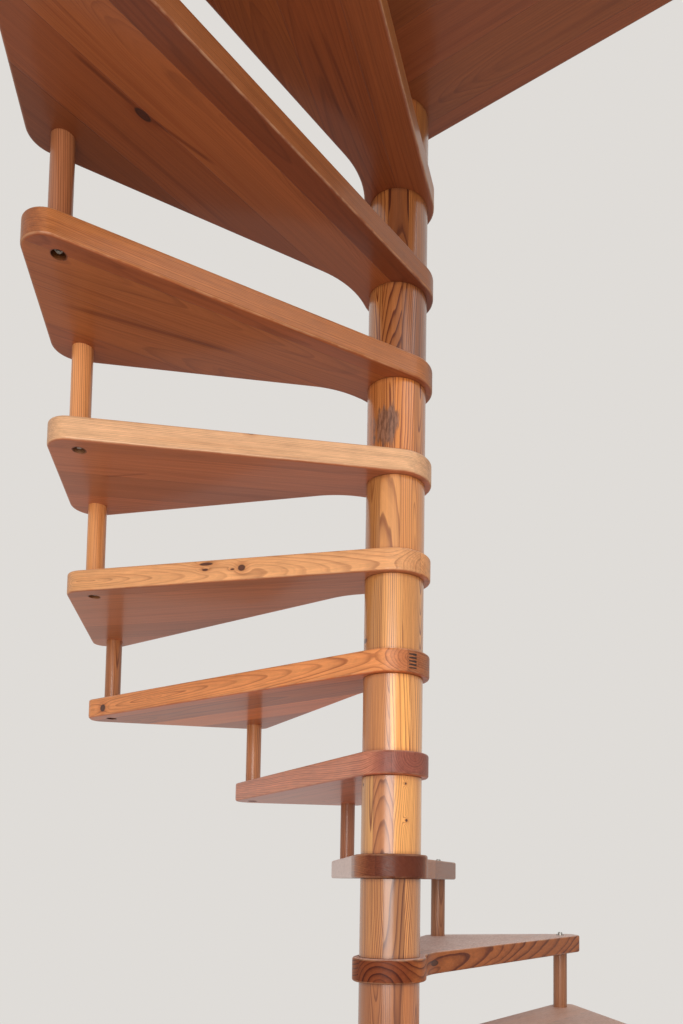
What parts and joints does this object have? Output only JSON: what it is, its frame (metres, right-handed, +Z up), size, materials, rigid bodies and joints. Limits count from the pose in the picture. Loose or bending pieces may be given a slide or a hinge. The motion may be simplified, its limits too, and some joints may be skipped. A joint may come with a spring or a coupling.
{
  "type": "spiral staircase",
  "caption": "Wooden spiral stair on a square plan: treads and turned blocks stacked on a column tube, outer dowels tying tread to tread, and a corner landing.",
  "frame": {"origin": "axis of the column at floor level, centre of the foot plate's underside", "axes": "+Z up the column, -Y towards the side where the stair is entered and the landing is left, X and Y parallel to the sides of the square plan"},
  "size_m": [1.4, 1.4, 3.406],
  "materials": {
    "tread_pine": "satin",
    "column_pine": "gloss",
    "dowel_pine": "satin",
    "steel": "satin"
  },
  "bodies": {
    "root": {"foot_plate": "steel", "column_tube": "steel", "spacer_01": "column_pine", "spacer_02": "column_pine", "spacer_03": "column_pine", "spacer_04": "column_pine", "spacer_05": "column_pine", "spacer_06": "column_pine", "spacer_07": "column_pine", "spacer_08": "column_pine", "spacer_09": "column_pine", "spacer_10": "column_pine", "spacer_11": "column_pine", "spacer_12": "column_pine", "spacer_13": "column_pine", "spacer_14": "column_pine", "spacer_15": "column_pine", "spacer_16": "column_pine", "tread_01": "tread_pine", "tread_02": "tread_pine", "tread_03": "tread_pine", "tread_04": "tread_pine", "tread_05": "tread_pine", "tread_06": "tread_pine", "tread_07": "tread_pine", "tread_08": "tread_pine", "tread_09": "tread_pine", "tread_10": "tread_pine", "tread_11": "tread_pine", "tread_12": "tread_pine", "tread_13": "tread_pine", "tread_14": "tread_pine", "tread_15": "tread_pine", "landing": "tread_pine", "dowels": "dowel_pine", "tie_bolts": "steel", "cap_nuts": "steel", "head_washer": "steel", "head_nut": "steel", "head_cap": "column_pine"}
  },
  "joints": []
}
